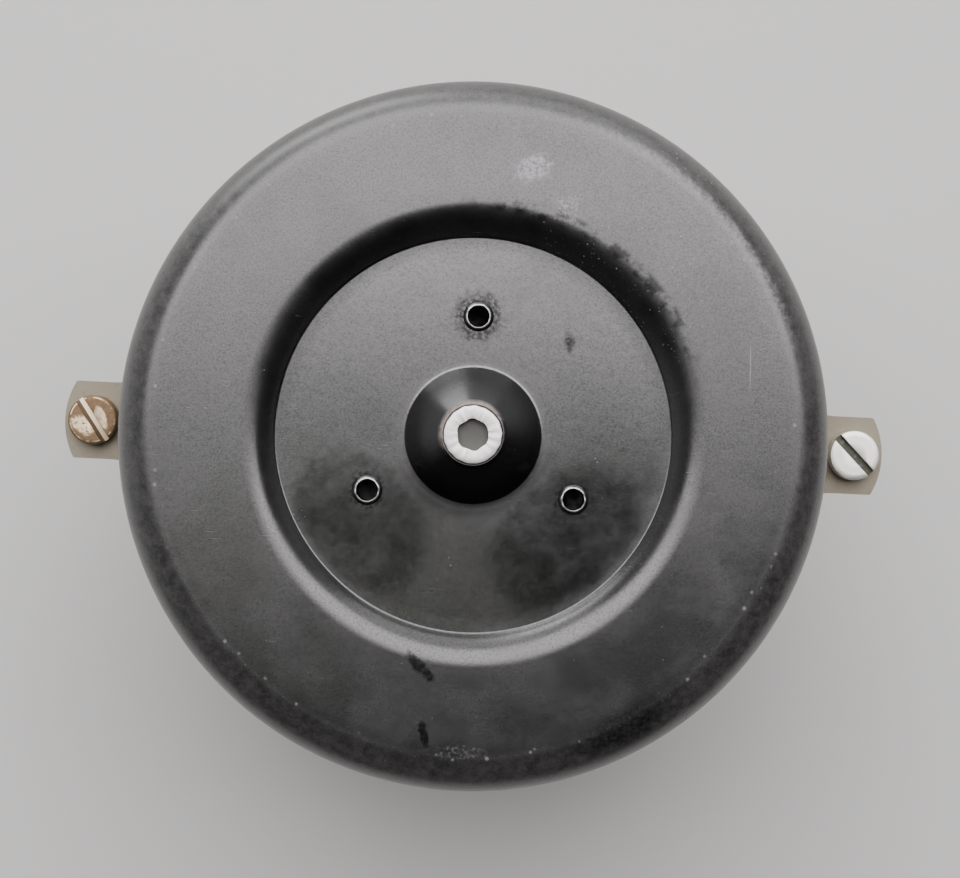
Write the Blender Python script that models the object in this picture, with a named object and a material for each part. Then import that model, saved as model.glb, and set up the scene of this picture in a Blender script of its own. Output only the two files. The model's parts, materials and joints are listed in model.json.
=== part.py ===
"""A small mains motor for a record turntable, in metres, +Z up.

The closed bearing end faces up and the drive pulley faces down. The origin is on the motor's axis,
in the plane of the two mounting ears' lower faces, where the motor is bolted to its suspension.
"""

import math

import bmesh
import bpy
from mathutils import Matrix, Vector

MM = 0.001
GAP = 0.3  # clearance between neighbouring pieces
CUT_MARGIN = 3.0  # how far a cutting tool runs past the work
CHAMFER = 0.4

# Heights above the mounting plane. The motor is symmetric about MIDDLE_Z, apart from its shaft.
EAR_THICKNESS = 6.0
MIDDLE_Z = EAR_THICKNESS / 2
BAND_HALF = 5.0
STACK_HALF = 10.0
BODY_HALF = 28.0

# Drawn steel shells
SHELL_RADIUS = 47.5
SHEET = 1.0
RIM_BEND = 5.0
RECESS_RADIUS = 31.0
RECESS_BEND = 6.0
RECESS_ANGLE = math.radians(42)
RECESS_DEPTH = 2.0
BOSS_RADIUS = 9.2
BOSS_FLANK_RADIUS = 14.0
BOSS_RISE = 4.8
BOSS_TOP_RADIUS = 4.5
NECK_WALL = 1.0
NECK_LENGTH = 3.9
NECK_ROOT = 1.5
THRUST_HOLE_RADIUS = 4.2
SHAFT_HOLE_RADIUS = 3.0
TAPPED_CIRCLE_RADIUS = 15.8
TAPPED_HOLE_RADIUS = 1.35
TAPPED_RIM_RADIUS = 2.0
TAPPED_RIM_RISE = 0.35
TAPPED_COLLAR = 1.4
GROMMET_CIRCLE_RADIUS = 36.8
GROMMET_HOLE_RADIUS = 4.0
GROMMET_BORE_RADIUS = 2.0
GROMMET_LIP = 1.5

# Yoke ring with its two mounting ears
REGISTER_RADIUS = SHELL_RADIUS - SHEET - GAP
YOKE_BORE_RADIUS = 37.5
EAR_WIDTH = 11.0
EAR_END_RADIUS = 58.4
EAR_BOW_RADIUS = 11.3
EAR_FILLET = 5.0
EAR_SCREW_RADIUS = 54.0
CLEARANCE_HOLE_RADIUS = 2.3

# Pole star, coils and shading rings
POLES = 4
STATOR_BORE_RADIUS = 20.4
BRIDGE_RADIUS = 21.4
NECK_HALF_WIDTH = 7.0
SHOE_BACK_RADIUS = 27.4
SHOE_TIP_RADIUS = 25.2
SHADED_ANGLE = math.radians(25)
SHADED_HALF_WIDTH = 4.2
SHADING_RING = 1.1
COIL_INNER = 28.2
COIL_OUTER = 34.2
BOBBIN_WALL = 0.8
COIL_BUILD = 4.6

# Rotor
ROTOR_RADIUS = 20.0
ROTOR_BARS = 18
BAR_CIRCLE_RADIUS = 17.4
BAR_RADIUS = 1.3
END_RING_INNER = 11.5
END_RING_OUTER = 19.4
END_RING_HEIGHT = 4.0
SHAFT_RADIUS = 2.0
SHAFT_CORE_RADIUS = 3.0
WASHER_RADIUS = 4.4
WASHER_THICKNESS = 0.8

# Bearings and end thrust
BUSH_SPHERE_RADIUS = 6.0
BUSH_HALF_LENGTH = 3.5
BUSH_FROM_END = 5.1
RETAINER_RADIUS = 13.0
RETAINER_CONE_RADIUS = 10.5
RETAINER_SHEET = 0.5
RETAINER_DROP = 2.1
FELT_INNER_RADIUS = 6.4
FELT_OUTER_RADIUS = 7.7
FELT_HEIGHT = 2.5
BALL_RADIUS = 1.5
THRUST_SCREW_RADIUS = 3.9
THRUST_SCREW_LENGTH = 4.2
THRUST_SCREW_PROUD = 0.2
HEX_ACROSS_FLATS = 4.0
HEX_DEPTH = 2.4

# Fasteners and pulley
CHEESE_HEAD_RADIUS = 3.5
CHEESE_HEAD_HEIGHT = 2.6
SCREW_RADIUS = 2.0
SCREW_REACH = 8.0
SLOT_WIDTH = 1.15
SLOT_DEPTH = 1.1
SLOT_ANGLE_LEFT = math.radians(-55)
SLOT_ANGLE_RIGHT = math.radians(-45)
PULLEY_COLLAR_RADIUS = 6.0
PULLEY_COLLAR_LENGTH = 4.5
PULLEY_STEP_RADII = (7.0, 4.05, 3.0)
PULLEY_STEP_LENGTH = 6.0
PULLEY_FLANGE = 0.8
PULLEY_EDGE = 0.5
PULLEY_TAPER = 0.12
PULLEY_FROM_SHELL = 4.0
GRUB_SCREW_RADIUS = 1.25
GRUB_SLOT = 0.5
GRUB_ANGLES = (0.0, math.radians(120))

# Facets round a full turn
SHELL_SEGMENTS = 48
ROUND_SEGMENTS = 24
SMALL_SEGMENTS = 16
BAR_SEGMENTS = 8
GRUB_SEGMENTS = 12


def clear_scene():
    for obj in list(bpy.data.objects):
        bpy.data.objects.remove(obj)


def make_material(name, colour, roughness, metallic):
    material = bpy.data.materials.new(name)
    material.use_nodes = True
    shader = material.node_tree.nodes["Principled BSDF"]
    shader.inputs["Base Color"].default_value = (*colour, 1.0)
    shader.inputs["Roughness"].default_value = roughness
    shader.inputs["Metallic"].default_value = metallic
    return material


def black_enamel():
    return make_material("black_enamel", (0.012, 0.012, 0.013), 0.32, 0.0)


def lamination_steel():
    return make_material("lamination_steel", (0.33, 0.28, 0.24), 0.5, 0.8)


def zinc_plate():
    return make_material("zinc_plate", (0.68, 0.66, 0.6), 0.35, 1.0)


def aged_plate():
    return make_material("aged_plate", (0.46, 0.36, 0.22), 0.5, 0.9)


def pale_alloy():
    return make_material("pale_alloy", (0.55, 0.54, 0.52), 0.5, 0.9)


def ground_steel():
    return make_material("ground_steel", (0.6, 0.6, 0.6), 0.2, 1.0)


def spring_steel():
    return make_material("spring_steel", (0.3, 0.3, 0.32), 0.35, 1.0)


def sintered_bronze():
    return make_material("sintered_bronze", (0.45, 0.27, 0.12), 0.6, 0.9)


def turned_brass():
    return make_material("turned_brass", (0.75, 0.55, 0.22), 0.25, 1.0)


def cast_aluminium():
    return make_material("cast_aluminium", (0.7, 0.7, 0.7), 0.45, 1.0)


def copper():
    return make_material("copper", (0.7, 0.3, 0.15), 0.35, 1.0)


def enamelled_wire():
    return make_material("enamelled_wire", (0.35, 0.1, 0.03), 0.4, 0.3)


def moulded_nylon():
    return make_material("moulded_nylon", (0.75, 0.7, 0.58), 0.5, 0.0)


def wool_felt():
    return make_material("wool_felt", (0.6, 0.55, 0.42), 0.95, 0.0)


def fibre():
    return make_material("fibre", (0.4, 0.1, 0.06), 0.6, 0.0)


def black_rubber():
    return make_material("black_rubber", (0.02, 0.02, 0.02), 0.7, 0.0)


def finish_object(name, bm, material, centre):
    """Makes an object of a bmesh in millimetres, with its origin at centre."""
    bmesh.ops.remove_doubles(bm, verts=bm.verts, dist=1e-4)
    bmesh.ops.recalc_face_normals(bm, faces=bm.faces)
    bmesh.ops.scale(bm, vec=(MM, MM, MM), verts=bm.verts)
    mesh = bpy.data.meshes.new(name)
    bm.to_mesh(mesh)
    bm.free()
    if material:
        mesh.materials.append(material)
    mesh.shade_smooth()
    mesh.set_sharp_from_angle(angle=math.radians(32))
    obj = bpy.data.objects.new(name, mesh)
    obj.location = Vector(centre) * MM
    bpy.context.scene.collection.objects.link(obj)
    return obj


def turned(name, profile, material, segments=ROUND_SEGMENTS, centre=(0, 0, 0), closed=True):
    """A turned piece. The profile holds (radius, height) points; an open one ends on the axis."""
    bm = bmesh.new()
    points = [bm.verts.new((radius, 0, height)) for radius, height in profile]
    ends = zip(points, points[1:] + points[:1]) if closed else zip(points, points[1:])
    for start, end in ends:
        bm.edges.new((start, end))
    bmesh.ops.spin(
        bm,
        geom=bm.verts[:] + bm.edges[:],
        cent=(0, 0, 0),
        axis=(0, 0, 1),
        angle=2 * math.pi,
        steps=segments,
        use_merge=True,
    )
    return finish_object(name, bm, material, centre)


def prism(name, outline, bottom, top, material=None, centre=(0, 0, 0)):
    """An outline of (x, y) points, extruded from bottom to top."""
    bm = bmesh.new()
    base = bm.faces.new([bm.verts.new((x, y, bottom)) for x, y in outline])
    grown = bmesh.ops.extrude_face_region(bm, geom=[base])
    moved = [item for item in grown["geom"] if isinstance(item, bmesh.types.BMVert)]
    bmesh.ops.translate(bm, verts=moved, vec=(0, 0, top - bottom))
    return finish_object(name, bm, material, centre)


def rod(name, radius, bottom, top, material=None, segments=ROUND_SEGMENTS, centre=(0, 0, 0)):
    return prism(name, circle(radius, segments), bottom, top, material, centre)


def rods(name, radius, bottom, top, places, segments):
    """Upright rods at several (x, y) places, as one tool."""
    bm = bmesh.new()
    for x, y, _ in places:
        bmesh.ops.create_cone(
            bm,
            cap_ends=True,
            segments=segments,
            radius1=radius,
            radius2=radius,
            depth=top - bottom,
            matrix=Matrix.Translation((x, y, (bottom + top) / 2)),
        )
    return finish_object(name, bm, None, (0, 0, 0))


def block(name, size, centre, material=None):
    x, y, z = (side / 2 for side in size)
    return prism(name, [(-x, -y), (x, -y), (x, y), (-x, y)], -z, z, material, centre)


def arc(centre, radius, start, end, steps):
    """Points along an arc, both ends included."""
    angles = [start + (end - start) * step / steps for step in range(steps + 1)]
    return [(centre[0] + radius * math.cos(a), centre[1] + radius * math.sin(a)) for a in angles]


def circle(radius, segments):
    return arc((0, 0), radius, 0, 2 * math.pi, segments)[:-1]


def turned_about(points, angle):
    cosine, sine = math.cos(angle), math.sin(angle)
    return [(x * cosine - y * sine, x * sine + y * cosine) for x, y in points]


def hide_cutter(cutter):
    cutter.hide_render = True
    cutter.display_type = "WIRE"


def combine(obj, tool, operation):
    """Adds a Boolean of the tool to the object, and hides the tool."""
    modifier = obj.modifiers.new(f"{operation.lower()}_{tool.name}", "BOOLEAN")
    modifier.operation = operation
    modifier.object = tool
    hide_cutter(tool)


def around(radius, angle, height=0.0):
    return (radius * math.cos(angle), radius * math.sin(angle), height)


def boss_flank(depth, steps):
    """A boss's side, a slightly rounded cone, from its foot up to its top, as (radius, height)."""
    foot = Vector((BOSS_RADIUS, -RECESS_DEPTH))
    top = Vector((BOSS_TOP_RADIUS, BOSS_RISE - RECESS_DEPTH))
    chord = top - foot
    half_angle = math.asin(chord.length / 2 / BOSS_FLANK_RADIUS)
    inward = Vector((-chord.y, chord.x)).normalized()
    centre = (foot + top) / 2 + inward * BOSS_FLANK_RADIUS * math.cos(half_angle)
    middle = math.atan2(-inward.y, -inward.x)
    return arc(centre, BOSS_FLANK_RADIUS - depth, middle - half_angle, middle + half_angle, steps)


def sheet_side(depth, skirt):
    """One side of a shell's sheet, from its rim to its boss, as (radius, height under the annulus)."""
    bend_steps, blend_steps, boss_steps = (3, 2, 3) if depth else (5, 4, 5)
    bend = RIM_BEND - depth
    side = [(SHELL_RADIUS - depth, -skirt)]
    side += arc((SHELL_RADIUS - RIM_BEND, -RIM_BEND), bend, 0, math.pi / 2, bend_steps)
    blend = RECESS_BEND - depth
    blend_end = math.pi / 2 + RECESS_ANGLE
    side += arc((RECESS_RADIUS, -RECESS_BEND), blend, math.pi / 2, blend_end, blend_steps)
    wall_radius, wall_height = side[-1]
    floor = -RECESS_DEPTH - depth
    side.append((wall_radius + (floor - wall_height) / math.tan(RECESS_ANGLE), floor))
    flank = boss_flank(depth, boss_steps)
    foot = (BOSS_RADIUS - depth, floor)
    return side + [foot] + flank[1:]


def shell_profile(hole_radius):
    """The closed section of a drawn shell, with the drawn neck inside its boss."""
    skirt = BODY_HALF - BAND_HALF - GAP
    boss_top = BOSS_RISE - RECESS_DEPTH
    neck_radius = hole_radius + NECK_WALL
    outer = sheet_side(0.0, skirt) + [(hole_radius, boss_top - GAP)]
    inner = [point for point in sheet_side(SHEET, skirt) if point[0] > neck_radius + GAP]
    neck = [
        (hole_radius, boss_top - NECK_LENGTH),
        (neck_radius, boss_top - NECK_LENGTH),
        (neck_radius, boss_top - NECK_ROOT),
    ]
    return outer + neck + inner[::-1]


def placed(profile, end):
    """Moves a profile from an annulus plane to the upper (end 1) or lower (end -1) shell."""
    return [(radius, MIDDLE_Z + end * (BODY_HALF + height)) for radius, height in profile]


def make_bearing_end_shell():
    shell = turned(
        "bearing_end_shell",
        placed(shell_profile(THRUST_HOLE_RADIUS), 1),
        black_enamel(),
        SHELL_SEGMENTS,
    )
    floor = MIDDLE_Z + BODY_HALF - RECESS_DEPTH
    low, high = floor - SHEET - TAPPED_COLLAR, floor + TAPPED_RIM_RISE
    places = [around(TAPPED_CIRCLE_RADIUS, math.radians(90 + 120 * index)) for index in range(3)]
    collars = rods("tapped_collars", TAPPED_RIM_RADIUS, low, high, places, SMALL_SEGMENTS)
    bores = rods("tapped_bores", TAPPED_HOLE_RADIUS, low - SHEET, high + SHEET, places, SMALL_SEGMENTS)
    combine(shell, collars, "UNION")
    combine(shell, bores, "DIFFERENCE")


def grommet_centre():
    return around(GROMMET_CIRCLE_RADIUS, -math.pi / 2, MIDDLE_Z - BODY_HALF)


def make_shaft_end_shell():
    shell = turned(
        "shaft_end_shell",
        placed(shell_profile(SHAFT_HOLE_RADIUS), -1),
        black_enamel(),
        SHELL_SEGMENTS,
    )
    hole = rod(
        "grommet_hole",
        GROMMET_HOLE_RADIUS,
        -CUT_MARGIN,
        CUT_MARGIN,
        segments=SMALL_SEGMENTS,
        centre=grommet_centre(),
    )
    combine(shell, hole, "DIFFERENCE")


def make_lead_grommet():
    """The rubber grommet that the mains leads would leave by."""
    groove = GROMMET_HOLE_RADIUS - GAP
    flange = GROMMET_HOLE_RADIUS + GROMMET_LIP
    inside = SHEET + GAP
    profile = [
        (GROMMET_BORE_RADIUS, -GROMMET_LIP),
        (flange - CHAMFER, -GROMMET_LIP),
        (flange, -GAP),
        (groove, -GAP),
        (groove, inside),
        (flange, inside),
        (flange - CHAMFER, SHEET + GROMMET_LIP),
        (GROMMET_BORE_RADIUS, SHEET + GROMMET_LIP),
    ]
    turned("lead_grommet", profile, black_rubber(), SMALL_SEGMENTS, grommet_centre())


def ear_outline():
    """Both ears as one bar through the ring, with bowed ends and fillets at the roots."""
    half = EAR_WIDTH / 2
    fillet_y = half + EAR_FILLET
    fillet_x = math.sqrt((SHELL_RADIUS - GAP) ** 2 - fillet_y**2) + EAR_FILLET
    bow = math.asin(half / EAR_BOW_RADIUS)
    lower_root = arc((fillet_x, -fillet_y), EAR_FILLET, math.pi, math.pi / 2, 4)
    upper_root = [(x, -y) for x, y in lower_root[::-1]]
    bowed_end = arc((EAR_END_RADIUS - EAR_BOW_RADIUS, 0), EAR_BOW_RADIUS, -bow, bow, 8)
    one_end = [(0, -fillet_y), *lower_root, *bowed_end, *upper_root]
    return one_end + turned_about(one_end, math.pi)


def make_yoke_ring():
    """The laminated yoke. Its middle laminations stand out as a band, and carry the two ears."""
    low, high = MIDDLE_Z - STACK_HALF, MIDDLE_Z + STACK_HALF
    band_low, band_high = MIDDLE_Z - BAND_HALF, MIDDLE_Z + BAND_HALF
    profile = [
        (YOKE_BORE_RADIUS, low),
        (REGISTER_RADIUS, low),
        (REGISTER_RADIUS, band_low),
        (SHELL_RADIUS, band_low),
        (SHELL_RADIUS, band_high),
        (REGISTER_RADIUS, band_high),
        (REGISTER_RADIUS, high),
        (YOKE_BORE_RADIUS, high),
    ]
    ring = turned("yoke_ring", profile, lamination_steel(), SHELL_SEGMENTS)
    ears = prism("ears", ear_outline(), 0, EAR_THICKNESS)
    bore = rod("yoke_bore", YOKE_BORE_RADIUS + 1, low, high, segments=SHELL_SEGMENTS)
    combine(ears, bore, "DIFFERENCE")
    combine(ring, ears, "UNION")
    places = [(side * EAR_SCREW_RADIUS, 0, 0) for side in (-1, 1)]
    reach = EAR_THICKNESS + CUT_MARGIN
    holes = rods("ear_holes", CLEARANCE_HOLE_RADIUS, -CUT_MARGIN, reach, places, SMALL_SEGMENTS)
    combine(ring, holes, "DIFFERENCE")


def pole_outline():
    """The outer edge of one pole on +X, from the bridge before it to the bridge after it."""
    tip = [
        (radius * math.cos(angle), radius * math.sin(angle))
        for radius, angle in (
            (BRIDGE_RADIUS, SHADED_ANGLE + SHADED_HALF_WIDTH / BRIDGE_RADIUS),
            (SHOE_TIP_RADIUS, SHADED_ANGLE + SHADED_HALF_WIDTH / SHOE_TIP_RADIUS),
        )
    ]
    neck_end = YOKE_BORE_RADIUS - GAP
    neck_angle = math.asin(NECK_HALF_WIDTH / neck_end)
    upper_half = [
        *arc((0, 0), neck_end, 0, neck_angle, 2)[1:],
        (SHOE_BACK_RADIUS, NECK_HALF_WIDTH),
        tip[1],
        tip[0],
    ]
    lower_half = [(x, -y) for x, y in upper_half[::-1]]
    return lower_half + [(neck_end, 0)] + upper_half


def shaded_slot_centre(pole_angle):
    offset = -(SHADED_HALF_WIDTH + GAP + SHADING_RING / 2)
    radius = (BRIDGE_RADIUS + SHOE_TIP_RADIUS) / 2
    x, y = turned_about([(radius, offset)], pole_angle + SHADED_ANGLE)[0]
    return (x, y, MIDDLE_Z)


def pole_angles():
    return [math.radians(45 + 360 / POLES * index) for index in range(POLES)]


def make_pole_star():
    """The laminated poles, joined by thin bridges round the bore, with a slot for each shading ring."""
    outline = []
    for angle in pole_angles():
        outline += turned_about(pole_outline(), angle)
    low, high = MIDDLE_Z - STACK_HALF, MIDDLE_Z + STACK_HALF
    star = prism("pole_star", outline, low, high, lamination_steel())
    bore = rod(
        "stator_bore", STATOR_BORE_RADIUS, low - CUT_MARGIN, high + CUT_MARGIN, segments=SHELL_SEGMENTS
    )
    combine(star, bore, "DIFFERENCE")
    slot_length = SHOE_TIP_RADIUS - BRIDGE_RADIUS - GAP
    for index, angle in enumerate(pole_angles()):
        size = (slot_length, SHADING_RING + 2 * GAP, 3 * STACK_HALF)
        slot = block(f"shading_slot_{index}", size, shaded_slot_centre(angle))
        slot.rotation_euler.z = angle + SHADED_ANGLE
        combine(star, slot, "DIFFERENCE")


def make_shading_ring(index, angle):
    """A closed copper band round the shaded side of one pole shoe."""
    inner = SHADED_HALF_WIDTH + GAP
    outer = inner + SHADING_RING
    low, high = -STACK_HALF - GAP, STACK_HALF + GAP
    depth = (SHOE_TIP_RADIUS - BRIDGE_RADIUS - 3 * GAP) / 2
    radius = (BRIDGE_RADIUS + SHOE_TIP_RADIUS) / 2
    centre = around(radius, angle + SHADED_ANGLE, MIDDLE_Z)
    bm = bmesh.new()
    loops = []
    for half_width, bottom, top in ((outer, low - SHADING_RING, high + SHADING_RING), (inner, low, high)):
        corners = ((-half_width, bottom), (half_width, bottom), (half_width, top), (-half_width, top))
        for x in (-depth, depth):
            loops.append([bm.verts.new((x, y, z)) for y, z in corners])
    for first, second in ((0, 1), (1, 3), (3, 2), (2, 0)):
        for corner in range(4):
            following = (corner + 1) % 4
            bm.faces.new(
                (
                    loops[first][corner],
                    loops[first][following],
                    loops[second][following],
                    loops[second][corner],
                )
            )
    ring = finish_object(f"shading_ring_{index + 1}", bm, copper(), centre)
    ring.rotation_euler.z = angle + SHADED_ANGLE


def frame_ring(name, inner, outer, start, end, material, angle):
    """A rectangular ring round a pole's neck. inner and outer are its distances outside the neck."""
    bm = bmesh.new()
    loops = []
    for distance in (outer, inner):
        half_width = NECK_HALF_WIDTH + distance
        half_height = STACK_HALF + distance
        corner = max(distance - 0.5, 0.0) * 0.8
        ring = []
        for y_side, z_side, swap in ((1, 1, 0), (-1, 1, 1), (-1, -1, 0), (1, -1, 1)):
            pair = [
                (y_side * half_width, z_side * (half_height - corner)),
                (y_side * (half_width - corner), z_side * half_height),
            ]
            ring += pair[::-1] if swap else pair
        for x in (start, end):
            loops.append([bm.verts.new((x, y, z)) for y, z in ring])
    count = len(loops[0])
    for first, second in ((0, 1), (1, 3), (3, 2), (2, 0)):
        for corner in range(count):
            following = (corner + 1) % count
            quad = [
                loops[first][corner],
                loops[first][following],
                loops[second][following],
                loops[second][corner],
            ]
            bm.faces.new(quad)
    obj = finish_object(name, bm, material, (0, 0, MIDDLE_Z))
    obj.rotation_euler.z = angle
    return obj


def make_coil(index, angle):
    """One field coil on its moulded bobbin, round the neck of one pole."""
    wall = GAP + BOBBIN_WALL
    bobbin = frame_ring(
        f"coil_bobbin_{index + 1}", GAP, wall, COIL_INNER, COIL_OUTER, moulded_nylon(), angle
    )
    for side, start in (("inner", COIL_INNER), ("outer", COIL_OUTER - BOBBIN_WALL)):
        name = f"bobbin_flange_{side}_{index}"
        flange = frame_ring(name, GAP, wall + COIL_BUILD, start, start + BOBBIN_WALL, None, angle)
        combine(bobbin, flange, "UNION")
    frame_ring(
        f"field_coil_{index + 1}",
        wall + GAP,
        wall + COIL_BUILD - GAP,
        COIL_INNER + BOBBIN_WALL + GAP,
        COIL_OUTER - BOBBIN_WALL - GAP,
        enamelled_wire(),
        angle,
    )


def bush_height(end):
    return MIDDLE_Z + end * (BODY_HALF - BUSH_FROM_END)


def make_bearing(label, end):
    """A self-aligning sintered bush, its spring retainer and its oil felt."""
    centre = (0, 0, bush_height(end))
    zone = math.asin(BUSH_HALF_LENGTH / BUSH_SPHERE_RADIUS)
    bore = SHAFT_RADIUS + GAP
    bush = [(bore, -BUSH_HALF_LENGTH)]
    bush += arc((0, 0), BUSH_SPHERE_RADIUS, -zone, zone, 6)
    bush += [(bore, BUSH_HALF_LENGTH)]
    turned(f"bearing_bush_{label}", bush, sintered_bronze(), ROUND_SEGMENTS, centre)

    ceiling = BUSH_FROM_END - RECESS_DEPTH - SHEET - GAP
    underside = ceiling - RETAINER_SHEET
    retainer = [
        (RETAINER_RADIUS, end * ceiling),
        (RETAINER_CONE_RADIUS, end * ceiling),
        (BUSH_SPHERE_RADIUS, end * -RETAINER_DROP),
        (BUSH_SPHERE_RADIUS, -end * (RETAINER_DROP + RETAINER_SHEET)),
        (RETAINER_CONE_RADIUS, end * underside),
        (RETAINER_RADIUS, end * underside),
    ]
    turned(f"bush_retainer_{label}", retainer, spring_steel(), ROUND_SEGMENTS, centre)

    felt_low, felt_high = ceiling + SHEET - FELT_HEIGHT, ceiling + SHEET
    felt = [
        (FELT_INNER_RADIUS, end * felt_low),
        (FELT_OUTER_RADIUS, end * felt_low),
        (FELT_OUTER_RADIUS, end * felt_high),
        (FELT_INNER_RADIUS, end * felt_high),
    ]
    turned(f"oil_felt_{label}", felt, wool_felt(), SMALL_SEGMENTS, centre)


def thrust_screw_top():
    return MIDDLE_Z + BODY_HALF + BOSS_RISE - RECESS_DEPTH + THRUST_SCREW_PROUD


def make_thrust_screw():
    """The hex-socket screw that sets the shaft's end play."""
    top = thrust_screw_top()
    bottom = top - THRUST_SCREW_LENGTH
    radius = THRUST_SCREW_RADIUS
    profile = [(0, bottom), (radius - CHAMFER, bottom), (radius, bottom + CHAMFER)]
    profile += [(radius, top - GAP), (radius - GAP, top), (0, top)]
    screw = turned("thrust_screw", profile, pale_alloy(), ROUND_SEGMENTS, closed=False)
    socket = rod(
        "hex_socket",
        HEX_ACROSS_FLATS / math.sqrt(3),
        top - HEX_DEPTH,
        top + CUT_MARGIN,
        segments=6,
    )
    combine(screw, socket, "DIFFERENCE")


def ball_height():
    return thrust_screw_top() - THRUST_SCREW_LENGTH - GAP - BALL_RADIUS


def make_thrust_ball():
    points = arc((0, 0), BALL_RADIUS, -math.pi / 2, math.pi / 2, 8)
    profile = [(0, -BALL_RADIUS), *points[1:-1], (0, BALL_RADIUS)]
    turned("thrust_ball", profile, ground_steel(), SMALL_SEGMENTS, (0, 0, ball_height()), closed=False)


def make_ear_screw(name, side, slot_angle, material):
    """An M4 slotted cheese-head screw down through one ear."""
    seat = EAR_THICKNESS + GAP
    top = seat + CHEESE_HEAD_HEIGHT
    profile = [
        (0, -SCREW_REACH),
        (SCREW_RADIUS - CHAMFER, -SCREW_REACH),
        (SCREW_RADIUS, -SCREW_REACH + CHAMFER),
        (SCREW_RADIUS, seat),
        (CHEESE_HEAD_RADIUS, seat),
        (CHEESE_HEAD_RADIUS, top - CHAMFER),
        (CHEESE_HEAD_RADIUS - CHAMFER, top),
        (0, top),
    ]
    centre = (side * EAR_SCREW_RADIUS, 0, 0)
    screw = turned(name, profile, material, ROUND_SEGMENTS, centre, closed=False)
    size = (3 * CHEESE_HEAD_RADIUS, SLOT_WIDTH, 2 * SLOT_DEPTH)
    slot = block(f"slot_of_{name}", size, (side * EAR_SCREW_RADIUS, 0, top))
    slot.rotation_euler.z = slot_angle
    combine(screw, slot, "DIFFERENCE")


def pulley_top():
    return MIDDLE_Z - BODY_HALF - PULLEY_FROM_SHELL


def pulley_length():
    return PULLEY_COLLAR_LENGTH + len(PULLEY_STEP_RADII) * (PULLEY_STEP_LENGTH + PULLEY_FLANGE)


def make_rotor_shaft():
    """The ground shaft, thicker where the rotor is pressed on. It ends below the thrust ball."""
    top = ball_height() - BALL_RADIUS - GAP
    bottom = pulley_top() - pulley_length() - 2 * CHAMFER
    thick_low = bush_height(-1) + BUSH_HALF_LENGTH + WASHER_THICKNESS + 2 * GAP
    thick_high = bush_height(1) - BUSH_HALF_LENGTH - WASHER_THICKNESS - 2 * GAP
    profile = [
        (0, bottom),
        (SHAFT_RADIUS - CHAMFER, bottom),
        (SHAFT_RADIUS, bottom + CHAMFER),
        (SHAFT_RADIUS, thick_low),
        (SHAFT_CORE_RADIUS, thick_low),
        (SHAFT_CORE_RADIUS, thick_high),
        (SHAFT_RADIUS, thick_high),
        (SHAFT_RADIUS, top - CHAMFER),
        (SHAFT_RADIUS - CHAMFER, top),
        (0, top),
    ]
    turned("rotor_shaft", profile, ground_steel(), ROUND_SEGMENTS, closed=False)


def make_shaft_washer(label, end):
    middle = bush_height(end) - end * (BUSH_HALF_LENGTH + GAP + WASHER_THICKNESS / 2)
    half = WASHER_THICKNESS / 2
    bore = SHAFT_RADIUS + GAP
    profile = [(bore, -half), (WASHER_RADIUS, -half), (WASHER_RADIUS, half), (bore, half)]
    turned(f"shaft_washer_{label}", profile, fibre(), SMALL_SEGMENTS, (0, 0, middle))


def bar_places():
    angles = [2 * math.pi * (index + 0.5) / ROTOR_BARS for index in range(ROTOR_BARS)]
    return [around(BAR_CIRCLE_RADIUS, angle) for angle in angles]


def make_rotor_core():
    """The laminated rotor, with a round hole for each bar of the cage."""
    bore = SHAFT_CORE_RADIUS + GAP
    profile = [
        (bore, -STACK_HALF),
        (ROTOR_RADIUS, -STACK_HALF),
        (ROTOR_RADIUS, STACK_HALF),
        (bore, STACK_HALF),
    ]
    core = turned("rotor_core", profile, lamination_steel(), 2 * ROTOR_BARS, (0, 0, MIDDLE_Z))
    low, high = MIDDLE_Z - STACK_HALF, MIDDLE_Z + STACK_HALF
    holes = rods(
        "bar_holes", BAR_RADIUS + GAP, low - CUT_MARGIN, high + CUT_MARGIN, bar_places(), BAR_SEGMENTS
    )
    combine(core, holes, "DIFFERENCE")


def make_rotor_cage():
    """The cast cage: a bar through each hole of the core, and a ring over each end."""
    low = STACK_HALF + GAP
    high = low + END_RING_HEIGHT

    def end_ring(name, end, material):
        profile = [
            (END_RING_INNER, end * low),
            (END_RING_OUTER, end * low),
            (END_RING_OUTER, end * (high - 1.0)),
            (END_RING_OUTER - 1.0, end * high),
            (END_RING_INNER, end * high),
        ]
        return turned(name, profile, material, 2 * ROTOR_BARS, (0, 0, MIDDLE_Z))

    cage = end_ring("rotor_cage", 1, cast_aluminium())
    combine(cage, end_ring("lower_end_ring", -1, None), "UNION")
    reach = low + END_RING_HEIGHT / 4
    bars = rods(
        "cage_bars", BAR_RADIUS, MIDDLE_Z - reach, MIDDLE_Z + reach, bar_places(), BAR_SEGMENTS
    )
    combine(cage, bars, "UNION")


def pulley_profile():
    """The stepped pulley's section: a clamping collar, then a tapered step for each speed."""
    bore = SHAFT_RADIUS + GAP
    height = pulley_top()
    profile = [
        (bore, height),
        (PULLEY_COLLAR_RADIUS - CHAMFER, height),
        (PULLEY_COLLAR_RADIUS, height - CHAMFER),
    ]
    height -= PULLEY_COLLAR_LENGTH
    profile.append((PULLEY_COLLAR_RADIUS, height))
    for radius in PULLEY_STEP_RADII:
        edge = radius + PULLEY_EDGE
        profile += [(edge, height), (edge, height - PULLEY_FLANGE)]
        height -= PULLEY_FLANGE
        profile.append((radius, height))
        height -= PULLEY_STEP_LENGTH
        profile.append((radius - PULLEY_TAPER, height))
    profile.append((bore, height))
    return profile


def grub_placement(angle, radius):
    height = pulley_top() - PULLEY_COLLAR_LENGTH / 2
    return Matrix.Translation(Vector(around(radius, angle, height)) * MM) @ Matrix.Rotation(angle, 4, "Z")


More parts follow.
